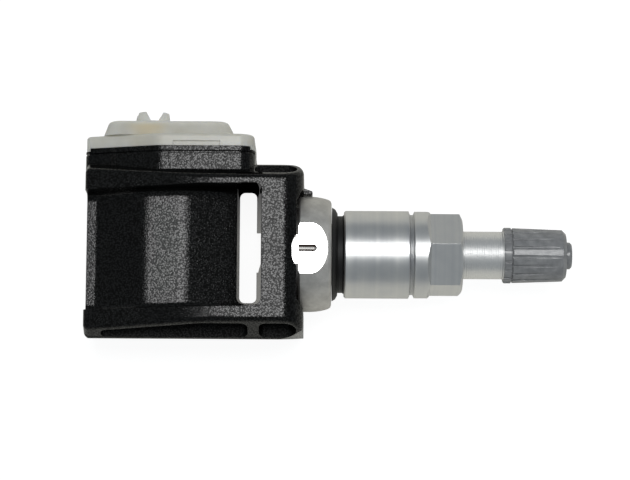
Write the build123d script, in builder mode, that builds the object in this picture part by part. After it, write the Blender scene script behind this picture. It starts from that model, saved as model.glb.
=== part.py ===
from build123d import *
import os
from math import cos, radians, sin, sqrt

# A tyre pressure sensor with a clamp-in metal valve. Sizes are in millimetres.
# +X runs along the valve towards its cap, +Y points to the lid, +Z away from the flat back.
# The origin is on the valve's axis, where the rubber collar's flange meets the wheel rim.

# Valve stem: thread, ball head and air way
thread_radius = 3.9
thread_depth = 0.42
thread_end_chamfer = 0.5
low_thread_start_x = 2.6
low_thread_end_x = 11.6
cap_thread_start_x = 27.7
cap_thread_end_x = 33.3
mouth_x = 34.0
shoulder_radius = 5.0
shoulder_x = 0.9
ball_radius = 9.44
ball_centre_x = -4.6
ball_face_x = -1.1
ball_edge = 0.5
skirt_radius = 7.6
skirt_end_x = -6.4
swivel_x = 5.7
swivel_radius = 15.0
swivel_deg = 8.0
flat_half = 8.52
flat_end_x = -4.4
flat_runout_radius = 7.3
flat_runout_length = 2.6
shelf_half = 7.25
keyway_radius = 0.58
keyway_depth = 0.5
keyway_end_x = -3.4
socket_radius = 2.05
socket_end_x = -1.6
air_radius = 1.1
chamber_radius = 2.1
chamber_start_x = 15.0
core_seat_x = 27.9
core_thread_radius = 2.6
core_thread_start_x = 28.8

# Clearances shared by the pieces that meet
running_gap = 0.05
seat_gap = 0.06
channel_gap = 0.12
fit_gap = 0.1

# Rubber collar on the stem
collar_face_radius = 7.7
collar_rim_radius = 6.7
collar_neck_radius = 6.3
collar_face_x = -1.0
collar_step_x = -0.1
collar_round = 0.35
collar_lip = 0.2

# Nut washer and union nut
washer_thickness = 1.1
washer_radius = 5.75
nut_pocket_radius = 5.95
nut_barrel_radius = 7.17
nut_ring_radius = 7.1
nut_groove_depth = 0.6
nut_groove_x = 11.5
nut_groove_width = 0.95
nut_ring_end_x = 14.4
nut_bevel_end_x = 15.05
nut_end_x = 20.25
hex_flats = 12.0
hex_turn_deg = 21.5
hex_end_chamfer = 0.55
nut_edge = 0.25

# Valve core
plug_radius = 2.5
plug_end_x = 32.9
plug_start_x = 29.0
plug_slot_width = 1.1
plug_slot_depth = 1.4
neck_radius = 1.7
barrel_radius = 1.9
barrel_start_x = 20.6
core_bore_radius = 1.3
core_step = 0.45
gasket_start_x = 27.3
gasket_radius = 2.0
pin_radius = 0.5
pin_tip_x = 33.6
pin_collar_radius = 1.05
pin_collar_x = 26.6
pin_collar_length = 0.6
cup_radius = 1.75
cup_start_x = 18.2
cup_base = 0.6
cup_wall = 0.25
seal_height = 1.0
spring_wire_radius = 0.13
spring_radius = 0.92
spring_coils = 6

# Cap and its seal
cap_open_x = 27.0
cap_end_x = 37.2
cap_boss_x = 38.2
cap_boss_radius = 2.2
cap_ring_radius = 4.56
cap_ring_length = 1.35
cap_root_radius = 4.5
cap_tip_radius = 4.22
cap_end_chamfer = 0.6
cap_rib_count = 18
cap_groove_depth = 0.28
cap_groove_width = 0.5
cap_notch_depth = 0.3
cap_seal_thickness = 1.0
cap_seal_bore_radius = 2.5

# Housing: long body
body_left_x = -41.4
left_draft = 0.4
left_lean = 0.3
left_corner_radius = 1.2
body_right_x = -5.6
body_front_z = 9.5
body_back_z = -13.0
body_front_half = 11.77
body_half = 14.3
body_back_half = 12.65
flare_end_z = 3.3
front_bend_x = -22.0
front_slant = 3.0
front_bend_radius = 60.0
end_corner_radius = 3.7
high_corner_x = -9.5
high_corner_drop = 0.3
high_corner_radius = 2.2
low_corner_x = -8.3
low_corner_drop = 1.4
low_corner_radius = 9.5
back_corner_radius = 1.4
rim_edge_radius = 0.9
wall = 1.3

# Housing: tower that carries the lid
tower_inset = 0.02
tower_right_x = -13.6
tower_front_z = 6.5
tower_facet_x = -29.5
tower_facet_drop = 4.2
tower_top_y = 16.9
tower_corner_radius = 2.8
tower_left_radius = 1.3
weld_groove_y = 15.75
weld_groove_width = 0.35
weld_groove_depth = 0.45

# Housing: recess for the screwdriver
recess_high_y = 10.35
recess_low_y = -9.45
recess_taper_high = 0.85
recess_taper_low = 0.5
recess_foot_radius = 1.3
strip_end_x = -39.3
strip_z = 1.0
cavity_front_gap = 0.91
crest_start_x = -32.2
crest_end_x = -25.0
crest_z = 4.0
floor_end_z = 1.1
crest_blend_radius = 7.0
strip_blend_radius = 1.8

# Housing: see-through slot beside the valve seat
slot_left_x = -16.5
slot_right_x = -12.3
slot_back_right_x = -13.7
slot_back_high_y = 12.1
slot_back_low_y = -6.6
slot_corner_radius = 1.2
slot_back_corner_radius = 0.9

# Housing: flank pockets
pocket_left_x = -38.2
pocket_rib_x = -14.5
pocket_rib_width = 1.75
pocket_right_x = -6.7
pocket_back_z = 3.95
pocket_rim = 1.05
pocket_floor_half = 11.2
pocket_corner_radius = 1.3
pocket_end_radius = 2.1

# Housing: seat, screw web and sight notch
seat_neck_x = -5.9
seat_throat_x = -6.85
seat_lip_z = 7.3
seat_shoulder_x = -8.1
web_thickness = 1.25
keeper_half_height = 2.5
keeper_back_low_y = -1.4
keeper_back_high_y = 5.3
keeper_bend_z = -4.8
keeper_front_z = 7.4
notch_low_y = -3.05
notch_high_y = 2.3
notch_depth = 0.7
ear_length = 1.4
ear_height = 1.0
ear_half_width = 2.4
ear_corner_radius = 0.1
ear_bend_radius = 0.3

# Lid
lid_thickness = 2.05
lid_inset = 0.12
lid_skirt = 0.5
lid_skirt_length = 0.8
lid_window_left_x = -26.9
lid_window_right_x = -19.3
lid_window_height = 0.8
lid_window_depth = 0.3
lid_edge_radius = 0.5
plateau_left_x = -38.55
plateau_right_x = -16.85
plateau_front_z = 4.6
plateau_back_z = -9.6
plateau_height = 2.5
plateau_left_lean = 0.95
plateau_right_lean = 1.3
plateau_side_lean = 0.85
plateau_corner_radius = 3.0
plateau_edge_radius = 0.8
lid_wall = 1.0
lid_rib_height = 1.3
port_x = -30.55
port_z = 0.4
port_ring_radius = 2.85
port_ring_wall = 1.0
port_ring_height = 1.6
port_tip_radius = 0.25
port_groove_floor = 0.1
port_groove_low_half = 0.68
port_groove_high_half = 1.43
port_turn_deg = -10.0
port_hole_radius = 0.75

# Circuit board and what it carries
shelf_y = 13.3
board_thickness = 1.0
sensor_side = 4.6
sensor_height = 2.2
sensor_nozzle_radius = 1.0
sensor_nozzle_height = 0.6
port_seal_radius = 2.1
chip_side = 5.0
chip_height = 0.9
chip_from_end = 17.05
chip_z = -5.5
crystal_length = 3.2
crystal_width = 2.5
crystal_height = 0.8
crystal_from_end = 10.95
crystal_z = -7.6
capacitor_length = 3.5
capacitor_width = 2.8
capacitor_height = 1.9
capacitor_from_end = 3.95
capacitor_z = -6.6
coil_length = 8.0
coil_width = 3.0
coil_height = 2.6
coil_flange = 1.0
coil_winding_inset = 0.35
coil_from_end = 5.95
coil_z = -4.3
strap_width = 1.4
strap_thickness = 0.3
strap_from_end = 1.55
strap_right_gap = 1.93
strap_low_y = -9.5
strap_z = -3.6
strap_bend_radius = 1.5

# Battery and its tabs
battery_radius = 10.0
battery_thickness = 3.2
battery_step_radius = 8.6
battery_step = 0.35
battery_edge = 0.35
battery_low_gap = 0.4
tab_thickness = 0.2
tab_width = 4.0
tab_overlap = 6.0

# Hollow screw
screw_head_radius = 2.3
screw_head_height = 1.55
screw_length = 7.2
screw_socket_flats = 2.0
screw_socket_depth = 1.0
screw_bore_radius = 0.6
screw_edge = 0.2

# Sizes worked out from the ones above
tower_left_x = body_left_x + tower_inset
tower_foot_y = body_back_half - wall
tower_inner_left_x = tower_left_x + wall
cavity_back_z = body_back_z + wall
cavity_right_x = slot_left_x - wall
cavity_front_z = strip_z - wall - cavity_front_gap
cavity_low_y = wall - body_back_half
board_top_y = shelf_y + board_thickness
lid_top_y = tower_top_y + lid_thickness
plateau_top_y = lid_top_y + plateau_height
seat_radius = swivel_radius + seat_gap
web_radius = seat_radius + web_thickness
channel_half = ball_radius + channel_gap
throat_half = skirt_radius + channel_gap + running_gap
swivel_reach = web_radius * sin(radians(swivel_deg))
nut_start_x = shoulder_x
hex_corner_radius = hex_flats / sqrt(3)
chip_x = tower_inner_left_x + chip_from_end
crystal_x = tower_inner_left_x + crystal_from_end
capacitor_x = tower_inner_left_x + capacitor_from_end
coil_x = tower_inner_left_x + coil_from_end
strap_left_x = tower_inner_left_x + strap_from_end
strap_right_x = cavity_right_x - strap_right_gap
far = 60.0


def level(y):
    """A sketch plane at height y whose own axes are the part's X and Z."""
    return Plane.XZ.offset(-y)


def upward(height, mode=Mode.ADD):
    """Carry the pending sketch on a level plane up, towards the lid."""
    extrude(amount=-height, mode=mode)


def turned(points):
    """Revolve an outline of (position along the valve, radius) about the valve's axis."""
    with BuildSketch(Plane.XY) as section:
        with BuildLine():
            Polyline(*points, close=True)
        make_face()
    revolve(section.sketch, axis=Axis.X)


def ring_profile(start_x, end_x, outer, inner, edge):
    """The outline of a plain ring with its outer edges broken."""
    return (
        (start_x, inner),
        (start_x, outer - edge),
        (start_x + edge, outer),
        (end_x - edge, outer),
        (end_x, outer - edge),
        (end_x, inner),
    )


def tower_outline(inset):
    """The tower's outline seen along Y, drawn smaller by an inset."""
    left_x = tower_left_x + inset
    right_x = tower_right_x - inset
    front_z = tower_front_z - inset
    points = (
        (left_x, body_back_z + inset),
        (right_x, body_back_z + inset),
        (right_x, front_z),
        (tower_facet_x, front_z),
        (left_x, front_z - tower_facet_drop),
    )
    radii = (
        max(back_corner_radius - inset, wall / 2),
        max(tower_corner_radius - inset, wall / 2),
        max(tower_corner_radius - inset, wall / 2),
        tower_corner_radius * 2,
        max(tower_left_radius - inset, wall / 4),
    )
    with BuildLine() as outline:
        FilletPolyline(*points, radius=radii, close=True)
    make_face(outline.edges())


# The valve seat: a channel whose bottom is round about the swivel axis.
# Only its front lip is drawn in to the ball head's skirt.
with BuildPart() as seat_tool:
    with BuildSketch(Plane.XY):
        with BuildLine():
            Polyline(
                (-far, throat_half),
                (seat_throat_x, throat_half),
                (seat_neck_x, channel_half),
                (far, channel_half),
                (far, -channel_half),
                (seat_neck_x, -channel_half),
                (seat_throat_x, -throat_half),
                (-far, -throat_half),
                close=True,
            )
        make_face()
    extrude(amount=far, both=True)
    with BuildSketch(Plane.XY.offset(seat_lip_z)):
        with Locations((seat_shoulder_x, 0)):
            Rectangle(far, 2 * channel_half, align=(Align.MIN, Align.CENTER))
    extrude(amount=-far)
    with BuildSketch(Plane.XZ):
        with Locations((swivel_x, 0)):
            Circle(seat_radius)
    extrude(amount=far, both=True, mode=Mode.INTERSECT)

# The keeper slot: it lets the screw's head slide round the swivel axis.
# It widens to the back, where it is open.
with BuildPart() as keeper_tool:
    with BuildSketch(Plane.YZ.offset(slot_left_x + wall)):
        with BuildLine():
            Polyline(
                (keeper_back_low_y, body_back_z - wall),
                (keeper_back_high_y, body_back_z - wall),
                (keeper_half_height, keeper_front_z),
                (-keeper_half_height, keeper_front_z),
                (-keeper_half_height, keeper_bend_z),
                close=True,
            )
        make_face()
    extrude(amount=body_right_x - slot_left_x)
    with BuildSketch(Plane.XZ):
        with Locations((swivel_x, 0)):
            Circle(web_radius)
    extrude(amount=far, both=True, mode=Mode.SUBTRACT)

# The screwdriver recess: a shaped floor between two side bands
with BuildPart() as recess_tool:
    recess_left = body_left_x - wall
    with BuildSketch(Plane.XZ):
        with BuildLine():
            FilletPolyline(
                (recess_left, strip_z),
                (strip_end_x, strip_z),
                (crest_start_x, crest_z),
                (crest_end_x, crest_z),
                (slot_left_x + wall, floor_end_z),
                (slot_left_x + wall, body_front_z + wall),
                (recess_left, body_front_z + wall),
                radius=(0, strip_blend_radius, crest_blend_radius, crest_blend_radius, 0, 0, 0),
                close=True,
            )
        make_face()
    extrude(amount=far, both=True)
    with BuildSketch(Plane.XY.offset(-far)):
        with BuildLine():
            Polyline(
                (recess_left, recess_low_y - recess_taper_low),
                (slot_left_x + wall, recess_low_y),
                (slot_left_x + wall, recess_high_y),
                (front_bend_x, recess_high_y),
                (recess_left, recess_high_y - recess_taper_high),
                close=True,
            )
        make_face()
    extrude(amount=2 * far, mode=Mode.INTERSECT)
    foot_edges = recess_tool.edges().filter_by(
        lambda e: e.center().Z < crest_z + wall and recess_left < e.center().X - wall / 9
    ).filter_by(
        lambda e: abs(e.center().Y) > abs(recess_low_y) - wall and e.center().X < slot_left_x + wall / 2
    )
    fillet(foot_edges, recess_foot_radius)

# The see-through slot: its back is shifted, so the walls lean
with BuildPart() as slot_tool:
    slot_front_z = body_front_z + wall
    slot_end_z = body_back_z - wall
    with BuildSketch(Plane.XY.offset(slot_front_z)):
        with Locations(((slot_left_x + slot_right_x) / 2, (recess_high_y + recess_low_y) / 2)):
            RectangleRounded(slot_right_x - slot_left_x, recess_high_y - recess_low_y, slot_corner_radius)
    with BuildSketch(Plane.XY.offset(slot_end_z)):
        with Locations(((slot_left_x + slot_back_right_x) / 2, (slot_back_high_y + slot_back_low_y) / 2)):
            RectangleRounded(
                slot_back_right_x - slot_left_x,
                slot_back_high_y - slot_back_low_y,
                slot_back_corner_radius,
            )
    loft()

# Housing: moulded in one piece
with BuildPart() as housing:
    with BuildSketch(Plane.YZ.offset(body_left_x)):
        with BuildLine():
            FilletPolyline(
                (-body_back_half, body_back_z),
                (body_back_half, body_back_z),
                (body_half, flare_end_z),
                (body_front_half, body_front_z),
                (-body_front_half, body_front_z),
                (-body_half, flare_end_z),
                radius=(back_corner_radius, back_corner_radius, 0, 0, 0, 0),
                close=True,
            )
        make_face()
    extrude(amount=body_right_x - body_left_x)
    with BuildSketch(Plane.XZ):
        with BuildLine():
            FilletPolyline(
                (body_left_x, body_back_z),
                (body_right_x, body_back_z),
                (body_right_x, body_front_z),
                (front_bend_x, body_front_z),
                (body_left_x + left_draft, body_front_z - front_slant),
                radius=(
                    back_corner_radius,
                    end_corner_radius,
                    end_corner_radius,
                    front_bend_radius,
                    rim_edge_radius,
                ),
                close=True,
            )
        make_face()
    extrude(amount=far, both=True, mode=Mode.INTERSECT)
    rim_edges = housing.edges().filter_by(
        lambda e: e.center().Z > flare_end_z + wall and abs(e.center().Y) > body_front_half - wall / 4
    ).filter_by(
        lambda e: abs(e.center().X - body_left_x) > wall / 9 and abs(e.center().X - body_right_x) > wall / 9
    )
    fillet(rim_edges, rim_edge_radius)
    outer_half = body_half + running_gap
    with BuildSketch(Plane.XY):
        with BuildLine():
            FilletPolyline(
                (body_left_x + left_lean, -outer_half),
                (low_corner_x, -outer_half),
                (body_right_x, low_corner_drop - outer_half),
                (body_right_x, outer_half - high_corner_drop),
                (high_corner_x, outer_half),
                (body_left_x - left_lean, outer_half),
                radius=(
                    left_corner_radius,
                    low_corner_radius,
                    0,
                    high_corner_radius,
                    high_corner_radius,
                    0,
                ),
                close=True,
            )
        make_face()
    extrude(amount=far, both=True, mode=Mode.INTERSECT)

    with BuildSketch(level(tower_foot_y)):
        tower_outline(0)
    upward(tower_top_y - tower_foot_y)
    with BuildPart(mode=Mode.SUBTRACT):
        with BuildSketch(level(weld_groove_y)):
            tower_outline(-wall)
        upward(weld_groove_width)
        with BuildSketch(level(weld_groove_y)):
            tower_outline(weld_groove_depth)
        upward(weld_groove_width, mode=Mode.SUBTRACT)

    for end_x in (tower_left_x, tower_right_x):
        with BuildSketch(level(tower_top_y - lid_skirt)):
            with Locations((end_x, 0)):
                Rectangle(2 * lid_skirt_length, far)
        upward(far, mode=Mode.SUBTRACT)

    with BuildSketch(level(cavity_low_y)):
        with BuildLine():
            FilletPolyline(
                (tower_inner_left_x, cavity_back_z),
                (cavity_right_x, cavity_back_z),
                (cavity_right_x, cavity_front_z),
                (tower_inner_left_x, cavity_front_z),
                radius=wall / 2,
                close=True,
            )
        make_face()
    upward(far, mode=Mode.SUBTRACT)
    with BuildSketch(level(shelf_y)):
        tower_outline(wall)
    upward(far, mode=Mode.SUBTRACT)

    add(recess_tool.part, mode=Mode.SUBTRACT)
    add(slot_tool.part, mode=Mode.SUBTRACT)

    for side in (1, -1):
        left_xs = (pocket_left_x, pocket_rib_x + pocket_rib_width)
        right_xs = (pocket_rib_x, pocket_right_x)
        for left_x, right_x in zip(left_xs, right_xs):
            on_lid_side = side > 0
            if not (on_lid_side and left_x == pocket_left_x):
                start_x = tower_right_x if on_lid_side else left_x
                slanted = max(front_bend_x - start_x, 0) / (front_bend_x - body_left_x)
                rim_z = body_front_z - pocket_rim
                start_rim_z = rim_z - front_slant * slanted
                bend_x = max(front_bend_x, (start_x + right_x) / 2)
                small_radius = min(pocket_corner_radius, (start_rim_z - pocket_back_z) * 2 / 5)
                end_radius = pocket_end_radius if right_x == pocket_right_x else pocket_corner_radius
                with BuildSketch(level(side * pocket_floor_half)):
                    with BuildLine():
                        FilletPolyline(
                            (start_x, pocket_back_z),
                            (right_x, pocket_back_z),
                            (right_x, rim_z),
                            (bend_x, rim_z),
                            (start_x, start_rim_z),
                            radius=(small_radius, end_radius, end_radius, 0, small_radius),
                            close=True,
                        )
                    make_face()
                extrude(amount=-side * far, mode=Mode.SUBTRACT)

    add(seat_tool.part, mode=Mode.SUBTRACT)
    add(keeper_tool.part, mode=Mode.SUBTRACT)
    with BuildSketch(Plane.YZ.offset(slot_right_x)):
        SlotOverall(
            2 * (swivel_reach + socket_radius + wall / 4),
            2 * (socket_radius + fit_gap),
            rotation=90,
        )
    extrude(amount=body_right_x - slot_right_x, mode=Mode.SUBTRACT)
    with BuildSketch(Plane.XY.offset(skirt_radius - wall)):
        with BuildLine():
            notch_edge_x = seat_throat_x + wall / 6
            notch_arc = ThreePointArc(
                (notch_edge_x, notch_high_y),
                (seat_throat_x - notch_depth, (notch_high_y + notch_low_y) / 2),
                (notch_edge_x, notch_low_y),
            )
            Polyline(
                notch_arc @ 1,
                (seat_neck_x + wall, notch_low_y),
                (seat_neck_x + wall, notch_high_y),
                notch_arc @ 0,
            )
        make_face()
    extrude(amount=far, mode=Mode.SUBTRACT)

    with BuildSketch(Plane.XY.offset(-ear_half_width)):
        with BuildLine():
            FilletPolyline(
                (body_right_x - wall, channel_half),
                (body_right_x + ear_length, channel_half),
                (body_right_x + ear_length, channel_half + ear_height / 2),
                (body_right_x, channel_half + ear_height),
                (body_right_x - wall, channel_half + ear_height),
                radius=(0, ear_corner_radius, ear_bend_radius, 0, 0),
                close=True,
            )
        make_face()
    extrude(amount=2 * ear_half_width)
housing.part.label = "housing"

# Valve stem: turned, with its back rounded about the swivel axis and two milled flats
with BuildPart() as valve_stem:
    with BuildSketch(Plane.XY):
        with BuildLine():
            bend_end_x = ball_face_x - ball_edge
            bend_mid_x = (ball_centre_x + bend_end_x) / 2
            back_x = swivel_x - swivel_radius - wall
            outline = Polyline(
                (back_x, 0),
                (back_x, skirt_radius),
                (skirt_end_x, skirt_radius),
                (skirt_end_x, ball_radius - ball_edge / 2),
                (skirt_end_x + ball_edge / 2, ball_radius),
                (ball_centre_x, ball_radius),
            )
            bend = ThreePointArc(
                outline @ 1,
                (bend_mid_x, sqrt(ball_radius**2 - (bend_mid_x - ball_centre_x) ** 2)),
                (bend_end_x, sqrt(ball_radius**2 - (bend_end_x - ball_centre_x) ** 2)),
            )
            Polyline(
                bend @ 1,
                (bend_end_x + ball_edge * 3 / 4, (bend @ 1).Y - ball_edge / 2),
                (ball_face_x, (bend @ 1).Y - ball_edge * 5 / 4),
                (ball_face_x, shoulder_radius),
                (shoulder_x, shoulder_radius),
                (shoulder_x, thread_radius),
                (low_thread_start_x, thread_radius),
                (low_thread_start_x + thread_depth, thread_radius - thread_depth),
                (low_thread_end_x - thread_depth, thread_radius - thread_depth),
                (low_thread_end_x, thread_radius),
                (cap_thread_start_x, thread_radius),
                (cap_thread_start_x + thread_depth, thread_radius - thread_depth),
                (cap_thread_end_x - thread_depth, thread_radius - thread_depth),
                (cap_thread_end_x, thread_radius),
                (mouth_x - thread_end_chamfer, thread_radius),
                (mouth_x, thread_radius - thread_end_chamfer),
                (mouth_x, 0),
                (back_x, 0),
            )
        make_face()
    revolve(axis=Axis.X)
    with BuildSketch(Plane.XZ):
        with Locations((swivel_x, 0)):
            Circle(swivel_radius)
        Rectangle(far, far, align=(Align.MIN, Align.CENTER))
    extrude(amount=far, both=True, mode=Mode.INTERSECT)
    for side in (1, -1):
        with BuildSketch(Plane.XZ):
            with BuildLine():
                runout_rise = flat_runout_radius - sqrt(flat_runout_radius**2 - flat_runout_length**2)
                runout_mid = flat_runout_radius - sqrt(flat_runout_radius**2 - flat_runout_length**2 / 4)
                floor_line = Polyline(
                    (skirt_end_x - far, side * shelf_half),
                    (skirt_end_x, side * shelf_half),
                    (skirt_end_x, side * flat_half),
                    (flat_end_x, side * flat_half),
                )
                runout = ThreePointArc(
                    floor_line @ 1,
                    (flat_end_x + flat_runout_length / 2, side * (flat_half + runout_mid)),
                    (flat_end_x + flat_runout_length, side * (flat_half + runout_rise)),
                )
                Polyline(
                    runout @ 1,
                    (flat_end_x + flat_runout_length, side * far),
                    (skirt_end_x - far, side * far),
                    floor_line @ 0,
                )
            make_face()
        extrude(amount=far, both=True, mode=Mode.SUBTRACT)
    keyway_z = flat_half - keyway_depth + keyway_radius
    with BuildSketch(Plane.YZ.offset(keyway_end_x - keyway_radius)):
        with Locations((0, keyway_z)):
            Circle(keyway_radius)
    extrude(amount=-far, mode=Mode.SUBTRACT)
    with Locations((keyway_end_x - keyway_radius, 0, keyway_z)):
        Sphere(keyway_radius, mode=Mode.SUBTRACT)
    with BuildSketch(Plane.XY):
        with BuildLine():
            Polyline(
                (-far, 0),
                (-far, socket_radius),
                (socket_end_x, socket_radius),
                (socket_end_x + socket_radius - air_radius, air_radius),
                (chamber_start_x, air_radius),
                (chamber_start_x + chamber_radius - air_radius, chamber_radius),
                (core_seat_x, chamber_radius),
                (core_thread_start_x, core_thread_radius),
                (mouth_x, core_thread_radius),
                (mouth_x, 0),
                close=True,
            )
        make_face()
    revolve(axis=Axis.X, mode=Mode.SUBTRACT)
valve_stem.part.label = "valve_stem"

# Hollow screw: clamps the housing's web against the ball head
screw_seat_x = swivel_x - web_radius - running_gap
screw_top_x = screw_seat_x - screw_head_height
with BuildPart() as hollow_screw:
    turned(
        (
            (screw_top_x, 0),
            (screw_top_x, screw_head_radius - screw_edge),
            (screw_top_x + screw_edge, screw_head_radius),
            (screw_seat_x, screw_head_radius),
            (screw_seat_x, socket_radius - running_gap),
            (screw_seat_x + screw_length - screw_edge, socket_radius - running_gap),
            (screw_seat_x + screw_length, socket_radius - running_gap - screw_edge),
            (screw_seat_x + screw_length, 0),
        )
    )
    with BuildSketch(Plane.YZ.offset(screw_top_x)):
        RegularPolygon(screw_socket_flats / 2, 6, major_radius=False)
    extrude(amount=screw_socket_depth, mode=Mode.SUBTRACT)
    with BuildSketch(Plane.YZ.offset(screw_top_x)):
        Circle(screw_bore_radius)
    extrude(amount=screw_head_height + screw_length, mode=Mode.SUBTRACT)
hollow_screw.part.label = "hollow_screw"

# Rubber collar: its flange seals on the rim, its neck centres the stem in the hole
with BuildPart() as grommet:
    turned(
        (
            (collar_face_x, shoulder_radius + running_gap),
            (collar_face_x, collar_face_radius),
            (collar_step_x - collar_round, collar_face_radius - collar_round),
            (collar_step_x - collar_round / 4, collar_rim_radius + collar_round / 2),
            (collar_step_x, collar_rim_radius),
            (collar_step_x, collar_neck_radius),
            (shoulder_x - collar_lip, collar_neck_radius),
            (shoulder_x, collar_neck_radius + collar_lip),
            (shoulder_x, shoulder_radius + running_gap),
        )
    )
grommet.part.label = "grommet"

# Nut washer: a plain ring in the nut's open end
with BuildPart() as nut_washer:
    turned(
        ring_profile(
            nut_start_x + running_gap,
            nut_start_x + running_gap + washer_thickness,
            washer_radius,
            thread_radius + running_gap,
            running_gap,
        )
    )
nut_washer.part.label = "nut_washer"

# Union nut: a turned barrel, a parting groove, a ring and a hexagon
with BuildPart() as rim_nut:
    groove_mid_x = nut_groove_x + nut_groove_width / 2
    groove_end_x = nut_groove_x + nut_groove_width
    turned(
        (
            (nut_start_x + running_gap, 0),
            (nut_start_x + running_gap, nut_barrel_radius - nut_edge),
            (nut_start_x + running_gap + nut_edge, nut_barrel_radius),
            (nut_groove_x, nut_barrel_radius),
            (groove_mid_x - nut_groove_width / 4, nut_barrel_radius - nut_groove_depth),
            (groove_mid_x + nut_groove_width / 4, nut_barrel_radius - nut_groove_depth),
            (groove_end_x, nut_ring_radius),
            (nut_ring_end_x, nut_ring_radius),
            (nut_ring_end_x, 0),
        )
    )
    with BuildPart(mode=Mode.PRIVATE) as hexagon:
        with BuildSketch(Plane.YZ.offset(nut_bevel_end_x)):
            RegularPolygon(hex_flats / 2, 6, major_radius=False, rotation=hex_turn_deg)
        extrude(amount=nut_end_x - nut_bevel_end_x)
        with BuildSketch(Plane.YZ.offset(nut_ring_end_x)):
            RegularPolygon(nut_ring_radius + running_gap, 6, major_radius=False, rotation=hex_turn_deg)
        with BuildSketch(Plane.YZ.offset(nut_bevel_end_x)):
            RegularPolygon(hex_flats / 2, 6, major_radius=False, rotation=hex_turn_deg)
        loft()
        with BuildSketch(Plane.XY):
            with BuildLine():
                Polyline(
                    (nut_ring_end_x, 0),
                    (nut_ring_end_x, nut_ring_radius),
                    (nut_end_x - hex_end_chamfer, hex_corner_radius + nut_edge / 4),
                    (nut_end_x, hex_flats / 2 - nut_edge / 2),
                    (nut_end_x, 0),
                    close=True,
                )
            make_face()
        revolve(axis=Axis.X, mode=Mode.INTERSECT)
    add(hexagon.part)
    with BuildSketch(Plane.YZ.offset(nut_start_x)):
        Circle(thread_radius + running_gap)
    extrude(amount=nut_end_x, mode=Mode.SUBTRACT)
    with BuildSketch(Plane.YZ.offset(nut_start_x)):
        Circle(nut_pocket_radius)
    extrude(amount=running_gap + washer_thickness + fit_gap, mode=Mode.SUBTRACT)
rim_nut.part.label = "rim_nut"

# Core barrel: a slotted plug, a neck and a long tube
with BuildPart() as core_barrel:
    turned(
        (
            (barrel_start_x, core_bore_radius - core_step),
            (barrel_start_x, barrel_radius),
            (gasket_start_x, barrel_radius),
            (gasket_start_x, neck_radius),
            (plug_start_x, neck_radius),
            (plug_start_x + plug_radius - neck_radius, plug_radius),
            (plug_end_x, plug_radius),
            (plug_end_x, core_bore_radius),
            (barrel_start_x + core_step, core_bore_radius),
            (barrel_start_x + core_step, core_bore_radius - core_step),
        )
    )
    for side in (1, -1):
        with BuildSketch(Plane.YZ.offset(plug_end_x)):
            with Locations((0, side * (plug_slot_width / 2 + far / 2))):
                Rectangle(far, far)
        extrude(amount=-plug_slot_depth, mode=Mode.SUBTRACT)
core_barrel.part.label = "core_barrel"

# Core gasket: the ring that seals the barrel in the stem
with BuildPart() as core_gasket:
    turned(
        (
            (gasket_start_x + running_gap, neck_radius + running_gap),
            (gasket_start_x + running_gap, gasket_radius),
            (plug_start_x - running_gap, gasket_radius + running_gap),
            (plug_start_x - running_gap, neck_radius + running_gap),
        )
    )
core_gasket.part.label = "core_gasket"

# Core pin: tip, collar for the spring, and the cup that carries the seal
with BuildPart() as core_pin:
    turned(
        (
            (cup_start_x, 0),
            (cup_start_x, cup_radius - cup_wall),
            (cup_start_x + cup_wall, cup_radius),
            (barrel_start_x - seal_height / 2, cup_radius),
            (barrel_start_x - seal_height / 2, cup_radius - cup_wall),
            (cup_start_x + cup_base, cup_radius - cup_wall),
            (cup_start_x + cup_base, pin_radius),
            (pin_collar_x, pin_radius),
            (pin_collar_x, pin_collar_radius),
            (pin_collar_x + pin_collar_length, pin_collar_radius),
            (pin_collar_x + pin_collar_length, pin_radius),
            (pin_tip_x - pin_radius / 2, pin_radius),
            (pin_tip_x, pin_radius / 2),
            (pin_tip_x, 0),
        )
    )
core_pin.part.label = "core_pin"

# Core seal: the rubber disc in the cup
with BuildPart() as core_seal:
    turned(
        (
            (cup_start_x + cup_base, pin_radius + running_gap),
            (cup_start_x + cup_base, cup_radius - cup_wall - running_gap),
            (barrel_start_x - running_gap, cup_radius - cup_wall - running_gap),
            (barrel_start_x - running_gap, pin_radius + running_gap),
        )
    )
core_seal.part.label = "core_seal"

# Core spring: a helix between the barrel's step and the pin's collar
spring_start_x = barrel_start_x + core_step + spring_wire_radius + running_gap
spring_length = pin_collar_x - spring_start_x - spring_wire_radius - running_gap
with BuildPart() as core_spring:
    with BuildLine() as coil_path:
        Helix(
            pitch=spring_length / spring_coils,
            height=spring_length,
            radius=spring_radius,
            center=(spring_start_x, 0, 0),
            direction=(1, 0, 0),
        )
    with BuildSketch(Plane(origin=coil_path.line @ 0, z_dir=coil_path.line % 0)):
        Circle(spring_wire_radius)
    sweep(is_frenet=True)
core_spring.part.label = "core_spring"

# Cap seal: the ring that the stem's mouth presses on
cap_bore_end_x = mouth_x + running_gap + cap_seal_thickness
with BuildPart() as cap_seal:
    turned(
        ring_profile(
            mouth_x + running_gap,
            cap_bore_end_x,
            thread_radius,
            cap_seal_bore_radius,
            running_gap,
        )
    )
cap_seal.part.label = "cap_seal"

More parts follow.
